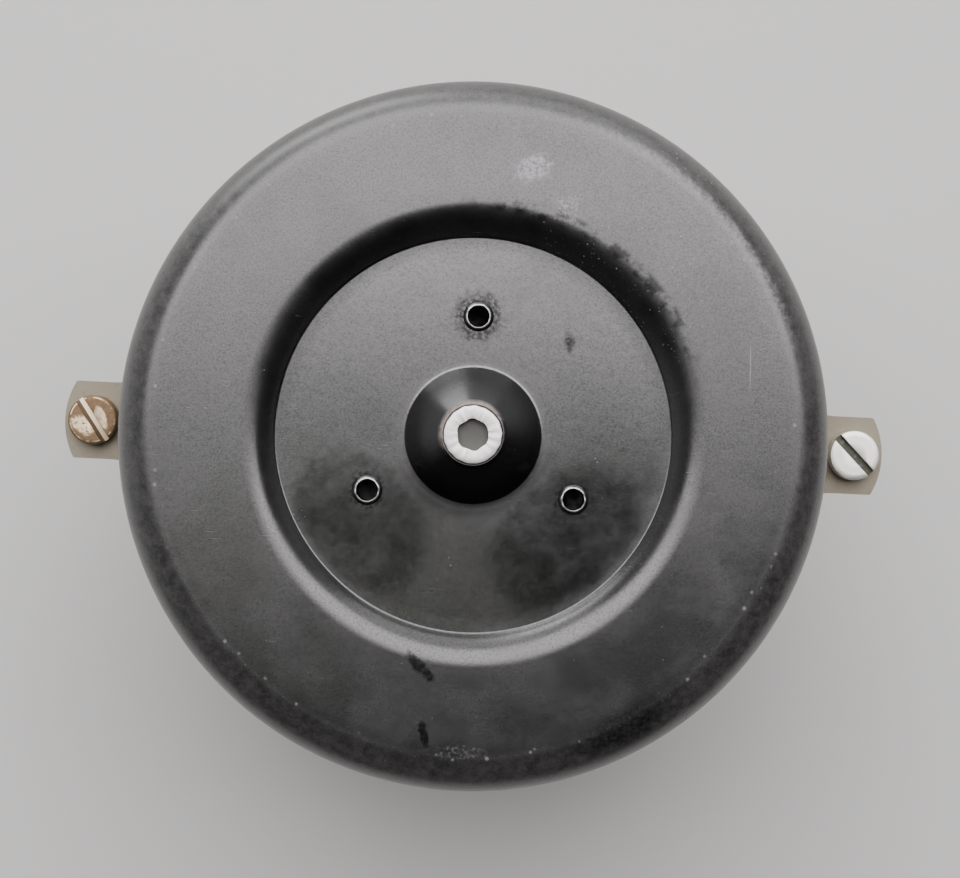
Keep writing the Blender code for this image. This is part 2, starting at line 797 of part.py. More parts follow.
def radial_rod(name, radius, start, end, angle):
    """A rod that lies along a radius of the pulley's collar."""
    piece = rod(name, radius, start, end, segments=GRUB_SEGMENTS)
    piece.matrix_world = grub_placement(angle, 0) @ Matrix.Rotation(math.pi / 2, 4, "Y")
    return piece


def make_drive_pulley():
    pulley = turned("drive_pulley", pulley_profile(), turned_brass(), ROUND_SEGMENTS)
    for index, angle in enumerate(GRUB_ANGLES):
        reach = PULLEY_COLLAR_RADIUS + CUT_MARGIN
        hole = radial_rod(f"grub_hole_{index}", GRUB_SCREW_RADIUS + GAP, GAP, reach, angle)
        combine(pulley, hole, "DIFFERENCE")


def make_grub_screw(index, angle):
    """A slotted grub screw that locks the pulley on the shaft."""
    start = SHAFT_RADIUS + GAP
    end = PULLEY_COLLAR_RADIUS - CHAMFER
    screw = radial_rod(f"grub_screw_{index + 1}", GRUB_SCREW_RADIUS, start, end, angle)
    screw.data.materials.append(spring_steel())
    slot = block(f"slot_of_grub_{index}", (2 * GRUB_SLOT, GRUB_SLOT, 2 * CUT_MARGIN), (0, 0, 0))
    slot.matrix_world = grub_placement(angle, end)
    combine(screw, slot, "DIFFERENCE")


def make_motor():
    make_bearing_end_shell()
    make_shaft_end_shell()
    make_lead_grommet()
    make_yoke_ring()
    make_pole_star()
    for index, angle in enumerate(pole_angles()):
        make_coil(index, angle)
        make_shading_ring(index, angle)
    make_bearing("upper", 1)
    make_bearing("lower", -1)
    make_thrust_screw()
    make_thrust_ball()
    make_ear_screw("ear_screw_left", -1, SLOT_ANGLE_LEFT, aged_plate())
    make_ear_screw("ear_screw_right", 1, SLOT_ANGLE_RIGHT, zinc_plate())
    make_rotor_shaft()
    make_rotor_core()
    make_rotor_cage()
    make_shaft_washer("upper", 1)
    make_shaft_washer("lower", -1)
    make_drive_pulley()
    for index, angle in enumerate(GRUB_ANGLES):
        make_grub_screw(index, angle)


clear_scene()
make_motor()
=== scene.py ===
"""The looks of the turntable motor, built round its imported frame. Lengths below are in millimetres."""

import json
import math

import bmesh
import bpy
import numpy as np
from mathutils import Matrix, Vector


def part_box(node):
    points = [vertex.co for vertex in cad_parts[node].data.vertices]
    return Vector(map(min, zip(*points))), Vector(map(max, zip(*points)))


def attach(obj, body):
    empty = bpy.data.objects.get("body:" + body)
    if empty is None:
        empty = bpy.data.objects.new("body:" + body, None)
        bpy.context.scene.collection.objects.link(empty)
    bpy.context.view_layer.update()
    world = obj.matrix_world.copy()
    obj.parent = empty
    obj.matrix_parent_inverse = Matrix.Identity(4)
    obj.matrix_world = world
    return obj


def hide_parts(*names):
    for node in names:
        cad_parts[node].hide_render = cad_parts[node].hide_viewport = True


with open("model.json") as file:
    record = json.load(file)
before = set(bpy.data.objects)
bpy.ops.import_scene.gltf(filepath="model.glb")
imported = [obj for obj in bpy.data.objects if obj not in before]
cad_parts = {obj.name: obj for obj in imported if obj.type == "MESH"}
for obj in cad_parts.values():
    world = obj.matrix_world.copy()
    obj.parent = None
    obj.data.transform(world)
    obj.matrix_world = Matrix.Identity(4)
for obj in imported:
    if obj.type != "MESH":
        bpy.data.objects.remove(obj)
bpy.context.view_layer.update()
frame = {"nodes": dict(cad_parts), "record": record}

MM = 0.001


# ---------------------------------------------------------------- places, from the frame


def span(node):
    """A CAD node's lowest and highest corners, in millimetres."""
    low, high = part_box(node)
    return low / MM, high / MM


CAN_LOW, CAN_HIGH = span("bearing_end_shell")
CAN_RADIUS = CAN_HIGH.x
TAIL_LOW = span("shaft_end_shell")[0]
YOKE_LOW, YOKE_HIGH = span("yoke_ring")
SCREW_LOW, SCREW_HIGH = span("ear_screw_right")
SCREW_X = (SCREW_LOW.x + SCREW_HIGH.x) / 2
THRUST_LOW, THRUST_HIGH = span("thrust_screw")
PULLEY_LOW, PULLEY_HIGH = span("drive_pulley")
SHAFT_LOW, SHAFT_HIGH = span("rotor_shaft")
GROMMET_LOW, GROMMET_HIGH = span("lead_grommet")
GROMMET_Y = (GROMMET_LOW.y + GROMMET_HIGH.y) / 2

# Drawn sheet: how each shell's flat face turns down at the rim, and dips to the floor round its boss
SHEET = 1.0
RIM_BEND = 5.0
RECESS_RADIUS = 30.85  # where the face starts to dip
RECESS_BEND = 6.0
RECESS_ANGLE = 42
RECESS_DEPTH = 2.0
BOSS_RADIUS = 9.05
BOSS_RISE = 4.8  # over the recess's floor
BOSS_TOP = BOSS_RISE - RECESS_DEPTH  # over the flat face
BOSS_FLANK = 40.0  # the radius that the boss's cone bulges by
CREST_RADIUS = 4.65
NECK_LENGTH = 3.9
FACE_Z = CAN_HIGH.z - BOSS_TOP
TAIL_Z = TAIL_LOW.z + BOSS_TOP
FLOOR_Z = FACE_Z - RECESS_DEPTH
TAPPED_CIRCLE = 15.8
COLLAR_RADIUS = 2.0

# The ear screws, and how their slots are turned on each side, in degrees from +X
HEAD_HEIGHT = 2.6
SHANK_RADIUS = 2.0
SLOT_TURNS = {-1: -55, 1: -45}


# ---------------------------------------------------------------- mesh helpers


def make_object(name, vertices, faces, materials=(), smooth_angle=35):
    """A mesh object of points in millimetres, shaded smooth apart from its sharp edges."""
    mesh = bpy.data.meshes.new(name)
    mesh.from_pydata([tuple(float(c) * MM for c in v) for v in vertices], [], faces)
    mesh.validate()
    for material in materials:
        mesh.materials.append(material)
    mesh.shade_smooth()
    mesh.set_sharp_from_angle(angle=math.radians(smooth_angle))
    obj = bpy.data.objects.new(name, mesh)
    bpy.context.scene.collection.objects.link(obj)
    return obj


def fix_normals(obj):
    """Turns every face outwards."""
    bm = bmesh.new()
    bm.from_mesh(obj.data)
    bmesh.ops.recalc_face_normals(bm, faces=bm.faces)
    bm.to_mesh(obj.data)
    bm.free()
    return obj


def arc(centre, radius, start, end, steps):
    """Points along an arc, from one angle to another in degrees."""
    angles = [math.radians(start + (end - start) * step / steps) for step in range(steps + 1)]
    return [(centre[0] + radius * math.cos(a), centre[1] + radius * math.sin(a)) for a in angles]


def lathe(name, profile, segments, materials, centre=(0, 0, 0), closed=True, wobble=None, smooth_angle=35):
    """A turned piece. A closed profile joins up with its start, and an open one starts and ends on the axis.

    wobble(radius, height, angle) may move a point a little.
    """
    cx, cy, cz = centre
    vertices, rings = [], []
    for radius, height in profile:
        if radius < 1e-6:
            rings.append([len(vertices)])
            vertices.append((cx, cy, cz + height))
            continue
        rings.append(list(range(len(vertices), len(vertices) + segments)))
        for step in range(segments):
            angle = 2 * math.pi * step / segments
            r, z = (radius, height) if wobble is None else wobble(radius, height, angle)
            vertices.append((cx + r * math.cos(angle), cy + r * math.sin(angle), cz + z))
    faces = []
    count = len(rings)
    for index in range(count if closed else count - 1):
        first, second = rings[index], rings[(index + 1) % count]
        for step in range(segments):
            following = (step + 1) % segments
            a, b = first[step % len(first)], first[following % len(first)]
            c, d = second[following % len(second)], second[step % len(second)]
            face = [a, b, c, d]
            face = [v for i, v in enumerate(face) if v not in face[:i]]
            if len(face) > 2:
                faces.append(face)
    return fix_normals(make_object(name, vertices, faces, materials, smooth_angle))


def cut_with(obj, cutter):
    """Cuts one object with another, which apply_modifiers then removes."""
    cut = obj.modifiers.new("cut", "BOOLEAN")
    cut.object = cutter
    cut.solver = "EXACT"


def soften(obj, width, segments, angle):
    """Rounds every edge sharper than angle degrees, width millimetres wide."""
    bevel = obj.modifiers.new("soften", "BEVEL")
    bevel.width = width * MM
    bevel.segments = segments
    bevel.limit_method = "ANGLE"
    bevel.angle_limit = math.radians(angle)


def apply_modifiers(obj, sharp_angle=40):
    """Makes the evaluated mesh the object's own, and drops what cut it."""
    bpy.context.view_layer.update()
    graph = bpy.context.evaluated_depsgraph_get()
    mesh = bpy.data.meshes.new_from_object(obj.evaluated_get(graph))
    cutters = [m.object for m in obj.modifiers if m.type == "BOOLEAN"]
    obj.modifiers.clear()
    obj.data = mesh
    mesh.shade_smooth()
    mesh.set_sharp_from_angle(angle=math.radians(sharp_angle))
    for cutter in cutters:
        bpy.data.objects.remove(cutter)


def place_piece(obj, slot, *nodes, body="housing"):
    """Says which body a piece rides on and hides the CAD nodes that it stands in for. Its material slot is
    not used.
    """
    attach(obj, body)
    if nodes:
        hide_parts(*nodes)


# ---------------------------------------------------------------- material helpers


class Surface:
    """A Principled material, and short calls for the nodes that feed it. Textures work in millimetres."""

    def __init__(self, name, metallic=0.0, ior=1.5):
        self.material = bpy.data.materials.new(name)
        self.material.use_nodes = True
        self.tree = self.material.node_tree
        self.shader = self.tree.nodes["Principled BSDF"]
        self.shader.inputs["Metallic"].default_value = metallic
        self.shader.inputs["IOR"].default_value = ior
        place = self.tree.nodes.new("ShaderNodeTexCoord").outputs["Object"]
        self.place = self.vector("SCALE", place, scale=1 / MM)
        self.height = None

    def link(self, value, socket):
        if isinstance(value, bpy.types.NodeSocket):
            self.tree.links.new(value, socket)
        else:
            socket.default_value = value

    def set(self, name, value):
        self.link(value, self.shader.inputs[name])

    def vector(self, operation, first, second=None, scale=None):
        node = self.tree.nodes.new("ShaderNodeVectorMath")
        node.operation = operation
        self.link(first, node.inputs[0])
        if second is not None:
            self.link(second, node.inputs[1])
        if scale is not None:
            self.link(scale, node.inputs["Scale"])
        return node.outputs["Value" if operation in ("LENGTH", "DISTANCE", "DOT_PRODUCT") else "Vector"]

    def maths(self, operation, first, second=0.0):
        node = self.tree.nodes.new("ShaderNodeMath")
        node.operation = operation
        self.link(first, node.inputs[0])
        self.link(second, node.inputs[1])
        return node.outputs[0]

    def times(self, first, second):
        return self.maths("MULTIPLY", first, second)

    def parts(self):
        """The place's x, y and z."""
        node = self.tree.nodes.new("ShaderNodeSeparateXYZ")
        self.link(self.place, node.inputs[0])
        return node.outputs

    def noise(self, size, detail=3.0, roughness=0.55, place=None):
        """Cloudy noise, whose patches are about size millimetres across."""
        node = self.tree.nodes.new("ShaderNodeTexNoise")
        self.link(place or self.place, node.inputs["Vector"])
        node.inputs["Scale"].default_value = 1 / size
        node.inputs["Detail"].default_value = detail
        node.inputs["Roughness"].default_value = roughness
        return node.outputs["Factor" if "Factor" in node.outputs else "Fac"]

    def cells(self, size):
        """The distance to the nearest of many scattered points, size millimetres apart."""
        node = self.tree.nodes.new("ShaderNodeTexVoronoi")
        self.link(self.place, node.inputs["Vector"])
        node.inputs["Scale"].default_value = 1 / size
        return node.outputs["Distance"]

    def ramp(self, value, start, end, low=0.0, high=1.0):
        """A soft step from low to high, as value goes from start to end."""
        node = self.tree.nodes.new("ShaderNodeMapRange")
        node.interpolation_type = "SMOOTHSTEP"
        self.link(value, node.inputs["Value"])
        node.inputs["From Min"].default_value = start
        node.inputs["From Max"].default_value = end
        node.inputs["To Min"].default_value = low
        node.inputs["To Max"].default_value = high
        return node.outputs["Result"]

    def mix(self, factor, first, second):
        """Between two colours, or two numbers, by a factor from 0 to 1."""
        node = self.tree.nodes.new("ShaderNodeMix")
        colours = isinstance(second, tuple)
        node.data_type = "RGBA" if colours else "FLOAT"
        kind = "_Color" if colours else "_Float"
        sockets = {socket.identifier: socket for socket in node.inputs}
        self.link(factor, sockets["Factor_Float"])
        for letter, value in (("A", first), ("B", second)):
            self.link((*value, 1) if isinstance(value, tuple) else value, sockets[letter + kind])
        return {socket.identifier: socket for socket in node.outputs}["Result" + kind]

    def stretched(self, scale, turn=0.0):
        """The place, turned about Z and scaled, so that noise becomes streaks."""
        node = self.tree.nodes.new("ShaderNodeMapping")
        self.link(self.place, node.inputs["Vector"])
        node.inputs["Rotation"].default_value = (0, 0, turn)
        node.inputs["Scale"].default_value = scale
        return node.outputs[0]

    def height_over(self, level):
        return self.maths("SUBTRACT", self.parts()[2], level)

    def plan(self):
        """The place, dropped to the XY plane."""
        return self.vector("MULTIPLY", self.place, (1, 1, 0))

    def radius(self):
        """The distance from the motor's axis, in millimetres."""
        return self.vector("LENGTH", self.plan())

    def around(self):
        """(radius, height) as a place, so that noise makes rings."""
        node = self.tree.nodes.new("ShaderNodeCombineXYZ")
        self.link(self.radius(), node.inputs[0])
        self.link(self.parts()[2], node.inputs[2])
        return node.outputs[0]

    def spot(self, centre, size, turn=0.0, ragged=0.5, soft=0.35):
        """1 inside a ragged oval on the XY plane, and 0 outside it."""
        shifted = self.vector("SUBTRACT", self.plan(), (*centre, 0))
        node = self.tree.nodes.new("ShaderNodeMapping")
        node.vector_type = "TEXTURE"
        self.link(shifted, node.inputs["Vector"])
        node.inputs["Rotation"].default_value = (0, 0, math.radians(turn))
        node.inputs["Scale"].default_value = (*size, 1)
        distance = self.vector("LENGTH", node.outputs[0])
        edge = self.times(self.maths("SUBTRACT", self.noise(0.9, 4), 0.5), 2 * ragged)
        return self.ramp(self.maths("ADD", distance, edge), 1 + soft, 1 - soft)

    def most(self, masks):
        """The highest of several masks at each place."""
        result = masks[0]
        for mask in masks[1:]:
            result = self.maths("MAXIMUM", result, mask)
        return result

    def bump(self, height, depth):
        """Adds relief of about depth millimetres."""
        node = self.tree.nodes.new("ShaderNodeBump")
        node.inputs["Strength"].default_value = 1.0
        node.inputs["Distance"].default_value = depth * MM
        self.link(height, node.inputs["Height"])
        if self.height is not None:
            self.link(self.height, node.inputs["Normal"])
        self.height = node.outputs["Normal"]
        self.set("Normal", self.height)


# ---------------------------------------------------------------- materials


def enamel_base(name):
    """Black stoved enamel: the masks of its uneven film, dust and mottle, and its fine relief."""
    s = Surface(name, ior=1.92)
    s.film = s.ramp(s.noise(9.0, 5, 0.6), 0.3, 0.75)
    s.dust = s.ramp(s.cells(1.1), 0.1, 0.055)
    s.dust_here = s.ramp(s.noise(3.0, 4, 0.7), 0.56, 0.7)
    s.mottle = s.ramp(s.noise(0.26, 5, 0.8), 0.42, 0.7, 0, 0.45)
    s.bump(s.noise(1.6, 2, 0.4), 0.006)
    s.bump(s.noise(0.22, 2), 0.0035)
    return s


def floor_gloss(s):
    """1 on the recess's floor, which is glossier than the face round it."""
    return s.ramp(s.radius(), 27.2, 26.2)


def finish_enamel(s, pale, dark, gloss, bare=0.0):
    """Sets the paint from masks of pale marks (one of them a painted highlight), dark marks (stains, and
    painted shade and dark reflection), gloss and bare brown metal.

    A dark mark is black with no coat over it, so it is metallic here: that takes its white shine away.
    """
    dusty = s.times(s.dust, s.dust_here)
    rim = s.times(s.ramp(s.radius(), 41.5, 45), s.ramp(s.noise(1.2, 5, 0.7), 0.3, 0.7, 0.4, 1))
    colour = s.mix(s.film, (0.004, 0.004, 0.004), (0.009, 0.0085, 0.0085))
    colour = s.mix(rim, colour, (0.06, 0.058, 0.056))
    colour = s.mix(s.times(dusty, 0.5), colour, (0.35, 0.33, 0.3))
    colour = s.mix(pale, colour, (0.52, 0.51, 0.54))
    colour = s.mix(dark, colour, (0.001, 0.001, 0.001))
    s.set("Base Color", s.mix(bare, colour, (0.3, 0.24, 0.21)))
    rough = s.mix(gloss, s.ramp(s.film, 0, 1, 0.22, 0.28), s.ramp(s.film, 0, 1, 0.14, 0.22))
    rough = s.mix(rim, rough, 0.38)
    rough = s.mix(s.maths("MAXIMUM", dusty, pale), rough, 0.75)
    s.set("Roughness", s.mix(bare, rough, 0.6))
    s.set("Metallic", s.maths("MAXIMUM", s.mottle, dark))
    return s.material


def stains_and_painted_shade(s, radius):
    """Chips, dark rings round the tapped holes, and painted light: a shadow at the boss's foot, dark
    reflections on the floor and shade along the recess's upper right edge.
    """
    fine = s.noise(0.5, 4, 0.75)
    # chips in the face, and a faint mark low on its right
    marks = [
        s.times(s.spot((-5.6, -30.7), (2.3, 0.8), -45, 0.8, 0.3), s.ramp(fine, 0.3, 0.55, 0.35, 0.8)),
        s.times(s.spot((-4.6, -39.6), (0.6, 1.7), 12, 0.8, 0.3), s.ramp(fine, 0.3, 0.55, 0.35, 0.8)),
        s.times(s.spot((12.2, 12.9), (0.7, 1.4), 10, 0.6, 0.5), s.ramp(fine, 0.3, 0.6, 0.2, 0.8)),
        s.times(s.spot((21.5, -37.5), (6, 2.5), 30, 0.4, 0.6), s.ramp(fine, 0.3, 0.6, 0.2, 0.6)),
    ]
    for (x, y), size in zip(tapped_places(), (3.3, 2.8, 2.8)):
        ring = s.spot((x, y), (size, size), 0, 0.5, 0.3)
        marks.append(s.times(ring, s.ramp(fine, 0.36, 0.56, 0.1, 0.75)))
    # painted shade: a ragged dark band along the recess's upper right edge, widening its dark wall there
    worn = s.times(s.ramp(radius, 29.3, 30.3), s.ramp(radius, 32.2, 31.2))
    worn = s.times(worn, s.spot((15, 24), (19, 14), -35, 0.3, 0.4))
    marks.append(s.times(worn, s.ramp(s.noise(1.7, 4, 0.55), 0.4, 0.62, 0, 0.7)))
    # the boss is a little duller all over, and a painted shadow darkens the floor round the lower side of its
    # foot
    marks.append(s.ramp(radius, 9.1, 8.9, 0, 0.2))
    painted_boss_shadow = s.times(s.ramp(radius, 12.5, 9.0), s.spot((1.5, -12), (15, 11), 0, 0.25, 0.35))
    marks.append(s.times(painted_boss_shadow, 0.6))
    # painted dark reflection: two black lobes on the lower half of the recess's floor
    for centre, size, turn in (((-14.5, -12), (10.5, 8), -50), ((13, -13), (11.5, 8.5), 40)):
        painted_reflection_lobe = s.spot(centre, size, turn, 0.2, 0.18)
        painted_reflection_lobe = s.times(painted_reflection_lobe, s.ramp(radius, 26.2, 25))
        marks.append(s.times(painted_reflection_lobe, s.ramp(s.noise(2.0, 5, 0.7), 0.3, 0.7, 0.3, 0.6)))
    return s.most(marks)


def face_enamel():
    """The bearing end's paint, with its own smudges, chips, dust and rubbed rim, and painted highlight and
    shade.
    """
    s = enamel_base("black_enamel")
    radius = s.radius()
    gloss = s.times(floor_gloss(s), s.ramp(radius, 9.7, 10.4))
    fine = s.noise(0.5, 3, 0.7)
    smudges = [
        s.times(s.spot((6.3, 35.7), (2.3, 1.5), 20, 1.0), s.ramp(fine, 0.38, 0.58, 0, 0.8)),
        s.times(s.spot((10.9, 30.6), (1.5, 1.7), -30, 1.0), s.ramp(fine, 0.45, 0.65, 0, 0.6)),
        s.times(s.spot((0.3, -41.8), (3.2, 0.8), 0, 0.9), s.ramp(fine, 0.45, 0.65, 0, 0.12)),
    ]
    specks = s.times(s.ramp(s.cells(0.75), 0.2, 0.08), s.ramp(s.noise(1.4, 3, 0.7), 0.42, 0.62))
    powder = s.times(specks, s.spot((24, 29), (17, 12), -45, 0.3, 0.6))
    rub_line = s.times(s.ramp(radius, 42.6, 43.6), s.ramp(radius, 44.9, 44.0))
    rubbed = s.times(rub_line, s.spot((31, 31), (20, 8), -45, 0.4, 0.5))
    rubbed = s.times(rubbed, s.ramp(s.noise(0.8, 4, 0.8), 0.35, 0.75, 0, 0.42))
    crease = s.times(s.ramp(radius, 41.6, 42.5), s.ramp(radius, 43.2, 42.7))
    crease = s.times(crease, s.ramp(s.cells(1.6), 0.22, 0.1, 0, 0.25))
    # painted highlight: a pale line round the boss's foot on its upper side, where its fillet catches the
    # light
    foot = s.times(s.ramp(radius, 8.98, 9.1), s.ramp(radius, 9.34, 9.2))
    foot = s.times(foot, s.spot((1.5, 10), (12, 8.5), 0, 0.2, 0.3))
    foot = s.times(foot, s.ramp(fine, 0.3, 0.6, 0.45, 0.9))
    scratch = s.spot((36.1, 10.9), (0.06, 3.0), 2, 0.05)
    scuffs = s.ramp(s.noise(1.0, 3, place=s.stretched((0.3, 5, 1), 0.7)), 0.66, 0.74)
    scuffs = s.times(scuffs, s.ramp(s.noise(6, 3), 0.5, 0.65, 0, 0.14))
    pale = smudges + [s.times(powder, 0.5), rubbed, crease, foot, scuffs, s.times(scratch, 0.35)]
    bore = s.times(s.ramp(radius, 4.75, 4.2), s.spot((-1.4, 2.2), (5.0, 3.4), 25, 0.3, 0.3))
    bore = s.times(bore, s.ramp(s.noise(0.6, 4, 0.7), 0.3, 0.65, 0.25, 0.9))
    return finish_enamel(s, s.most(pale), stains_and_painted_shade(s, radius), gloss, bore)


def tail_enamel():
    """The shaft end's paint, with only dust on it."""
    s = enamel_base("black_enamel_tail")
    return finish_enamel(s, 0.0, 0.0, floor_gloss(s))


def sheet_steel():
    """Phosphated lamination steel: grey-brown with an olive tint that is partly painted green bounce light,
    faintly rolled, with small rust freckles.
    """
    s = Surface("lamination_steel", metallic=0.5)
    cloud = s.noise(2.5, 5, 0.65)
    rust = s.ramp(s.noise(0.7, 4, 0.7), 0.6, 0.72)
    # the olive tint is partly painted green light bounced on to the steel
    colour = s.mix(cloud, (0.2, 0.175, 0.125), (0.37, 0.335, 0.255))
    s.set("Base Color", s.mix(s.times(rust, 0.5), colour, (0.2, 0.1, 0.05)))
    s.set("Roughness", s.ramp(cloud, 0.2, 0.8, 0.42, 0.62))
    s.bump(s.noise(1.0, 3, place=s.stretched((0.3, 4, 1))), 0.004)
    s.bump(s.noise(0.25, 3), 0.006)
    return s.material


def across_slot(s, side):
    """The distance from an ear screw's slot line, in millimetres."""
    turn = math.radians(SLOT_TURNS[side])
    from_middle = s.vector("SUBTRACT", s.place, (side * SCREW_X, 0, 0))
    return s.vector("DOT_PRODUCT", from_middle, (-math.sin(turn), math.cos(turn), 0))


def in_slot(s, side):
    """1 on the walls and floor of an ear screw's slot."""
    half_width = 0.62
    near = s.ramp(s.maths("ABSOLUTE", across_slot(s, side)), half_width + 0.04, half_width - 0.04)
    height = s.height_over(SCREW_HIGH.z)
    deep = s.times(s.ramp(height, -0.15, -0.5), s.ramp(height, -1.35, -1.2))
    return s.times(near, deep)


def zinc():
    """Bright zinc plating, unevenly dull, with grime down the slot."""
    s = Surface("zinc_plate")
    cloud = s.noise(1.4, 5, 0.65)
    grime = s.times(in_slot(s, 1), s.ramp(s.noise(0.6, 3), 0.2, 0.5, 0.8, 1))
    colour = s.mix(cloud, (0.84, 0.82, 0.74), (0.97, 0.96, 0.94))
    s.set("Base Color", s.mix(grime, colour, (0.1, 0.105, 0.075)))
    s.set("Roughness", s.mix(grime, s.ramp(cloud, 0.25, 0.75, 0.32, 0.48), 0.7))
    s.set("Metallic", s.mix(grime, 0.85, 0.1))
    s.bump(s.noise(0.3, 3), 0.004)
    s.bump(s.noise(1.0, 2, place=s.stretched((6, 0.4, 1), 0.6)), 0.002)
    return s.material


def old_plate():
    """Old yellow plating gone brown, worn pale in two patches, along its edge and down its slot."""
    s = Surface("aged_plate", metallic=0.6)
    slot = in_slot(s, -1)
    strip = s.ramp(s.maths("ABSOLUTE", s.maths("SUBTRACT", across_slot(s, -1), 0.12)), 0.36, 0.28)
    scraped = s.times(s.times(slot, strip), s.ramp(s.height_over(SCREW_HIGH.z), -0.9, -1.0))
    fine = s.noise(0.5, 4, 0.7)
    right_patch = s.spot((1.2 - SCREW_X, 0.35), (1.6, 0.75), -68, 0.35, 0.2)
    left_patch = s.spot((-1.3 - SCREW_X, -0.85), (1.8, 1.0), -32, 0.5, 0.25)
    left_patch = s.times(left_patch, s.ramp(fine, 0.36, 0.5))
    out = s.vector("DISTANCE", s.plan(), (-SCREW_X, 0, 0))
    edge = s.times(s.ramp(out, 3.0, 3.08), s.ramp(out, 3.24, 3.16))
    edge = s.times(edge, s.ramp(s.noise(1.2, 3), 0.42, 0.52))
    worn = s.times(s.most([right_patch, left_patch, edge]), s.ramp(fine, 0.3, 0.56, 0.42, 0.95))
    patch = s.maths("MAXIMUM", s.times(worn, s.ramp(slot, 0.6, 0.1)), scraped)
    colour = s.mix(s.noise(0.6, 4), (0.13, 0.08, 0.042), (0.35, 0.235, 0.13))
    # painted shade: the slot darker down its walls and floor
    colour = s.mix(s.times(slot, 0.6), colour, (0.07, 0.06, 0.045))
    s.set("Base Color", s.mix(patch, colour, (0.93, 0.75, 0.5)))
    s.set("Roughness", s.ramp(patch, 0, 1, 0.6, 0.45))
    s.bump(fine, 0.01)
    return s.material


def thrust_alloy():
    """The end-play screw's pale alloy, brown in a few pits and grimy down its socket."""
    s = Surface("pale_alloy")
    pits = s.ramp(s.noise(0.5, 4, 0.7), 0.56, 0.68)
    colour = s.mix(s.noise(1.0, 4), (0.8, 0.77, 0.74), (0.98, 0.96, 0.95))
    colour = s.mix(s.times(pits, 0.45), colour, (0.5, 0.38, 0.28))
    grime = s.ramp(s.height_over(THRUST_HIGH.z), -0.15, -0.5)
    s.set("Base Color", s.mix(grime, colour, (0.125, 0.125, 0.115)))
    s.set("Metallic", s.mix(grime, 0.85, 0.0))
    s.set("Roughness", s.mix(grime, 0.42, 0.8))
    s.bump(s.noise(0.18, 5, 0.7), 0.014)
    return s.material


def turned_metal(name, dark, light, roughness, ring_size, depth):
    """Metal with fine turning rings and a little tarnish."""
    s = Surface(name, metallic=1.0)
    rings = s.noise(ring_size, 3, 0.7, place=s.around())
    tarnish = s.ramp(s.noise(2.5, 4, 0.65), 0.45, 0.7)
    s.set("Base Color", s.mix(tarnish, light, dark))
    dull = s.ramp(tarnish, 0, 1, roughness, roughness + 0.15)
    s.set("Roughness", s.maths("ADD", s.ramp(rings, 0.3, 0.7, 0, 0.12), dull))
    s.bump(rings, depth)
    return s.material


def moulded(name, dark, light, roughness, grain=0.3, depth=0.01):
    """Moulded or pressed stuff: uneven colour and a fine grain."""
    s = Surface(name)
    s.set("Base Color", s.mix(s.noise(2.0, 5, 0.65), dark, light))
    s.set("Roughness", s.ramp(s.noise(1.0, 4), 0.3, 0.7, roughness - 0.08, roughness + 0.08))
    s.bump(s.noise(grain, 3), depth)
    return s.material


def windings():
    """Enamelled wire, as close turns over the coil under a coat of varnish."""
    s = Surface("enamelled_wire")
    turns = s.tree.nodes.new("ShaderNodeTexWave")
    s.link(s.vector("MULTIPLY", s.around(), (1, 1, 0)), turns.inputs["Vector"])
    turns.bands_direction = "X"
    turns.inputs["Scale"].default_value = 0.8
    turns.inputs["Distortion"].default_value = 0.4
    s.set("Base Color", s.mix(turns.outputs["Fac"], (0.1, 0.025, 0.01), (0.42, 0.15, 0.05)))
    s.set("Roughness", s.ramp(s.noise(1.5, 3), 0.3, 0.7, 0.22, 0.38))
    s.bump(turns.outputs["Fac"], 0.05)
    return s.material


def finishes():
    """One material for each slot of the record."""
    looks = {
        "black_enamel": face_enamel(),
        "lamination_steel": sheet_steel(),
        "zinc_plate": zinc(),
        "aged_plate": old_plate(),
        "pale_alloy": thrust_alloy(),
        "enamelled_wire": windings(),
    }
    # tarnished colour, clean colour, roughness, the rings' spacing and their depth
    turned = {
        "ground_steel": ((0.35, 0.33, 0.3), (0.66, 0.66, 0.66), 0.16, 0.12, 0.001),
        "spring_steel": ((0.12, 0.1, 0.09), (0.25, 0.26, 0.3), 0.3, 0.2, 0.002),
        "turned_brass": ((0.52, 0.36, 0.14), (0.8, 0.58, 0.25), 0.2, 0.16, 0.003),
        "sintered_bronze": ((0.2, 0.11, 0.05), (0.45, 0.28, 0.14), 0.5, 0.3, 0.01),
        "cast_aluminium": ((0.12, 0.115, 0.11), (0.3, 0.29, 0.28), 0.55, 0.5, 0.02),
        "copper": ((0.22, 0.09, 0.045), (0.7, 0.32, 0.18), 0.35, 0.5, 0.005),
    }
    # dark colour, light colour, roughness, and for some the grain's size and its depth
    pressed = {
        "black_rubber": ((0.012, 0.012, 0.012), (0.03, 0.03, 0.029), 0.62),
        "moulded_nylon": ((0.5, 0.44, 0.3), (0.72, 0.67, 0.54), 0.45),
        "wool_felt": ((0.25, 0.2, 0.1), (0.55, 0.48, 0.32), 0.92, 0.15, 0.08),
        "fibre": ((0.22, 0.05, 0.03), (0.42, 0.12, 0.07), 0.55),
    }
    looks.update({name: turned_metal(name, *values) for name, values in turned.items()})
    looks.update({name: moulded(name, *values) for name, values in pressed.items()})
    return looks


# ---------------------------------------------------------------- drawn shells


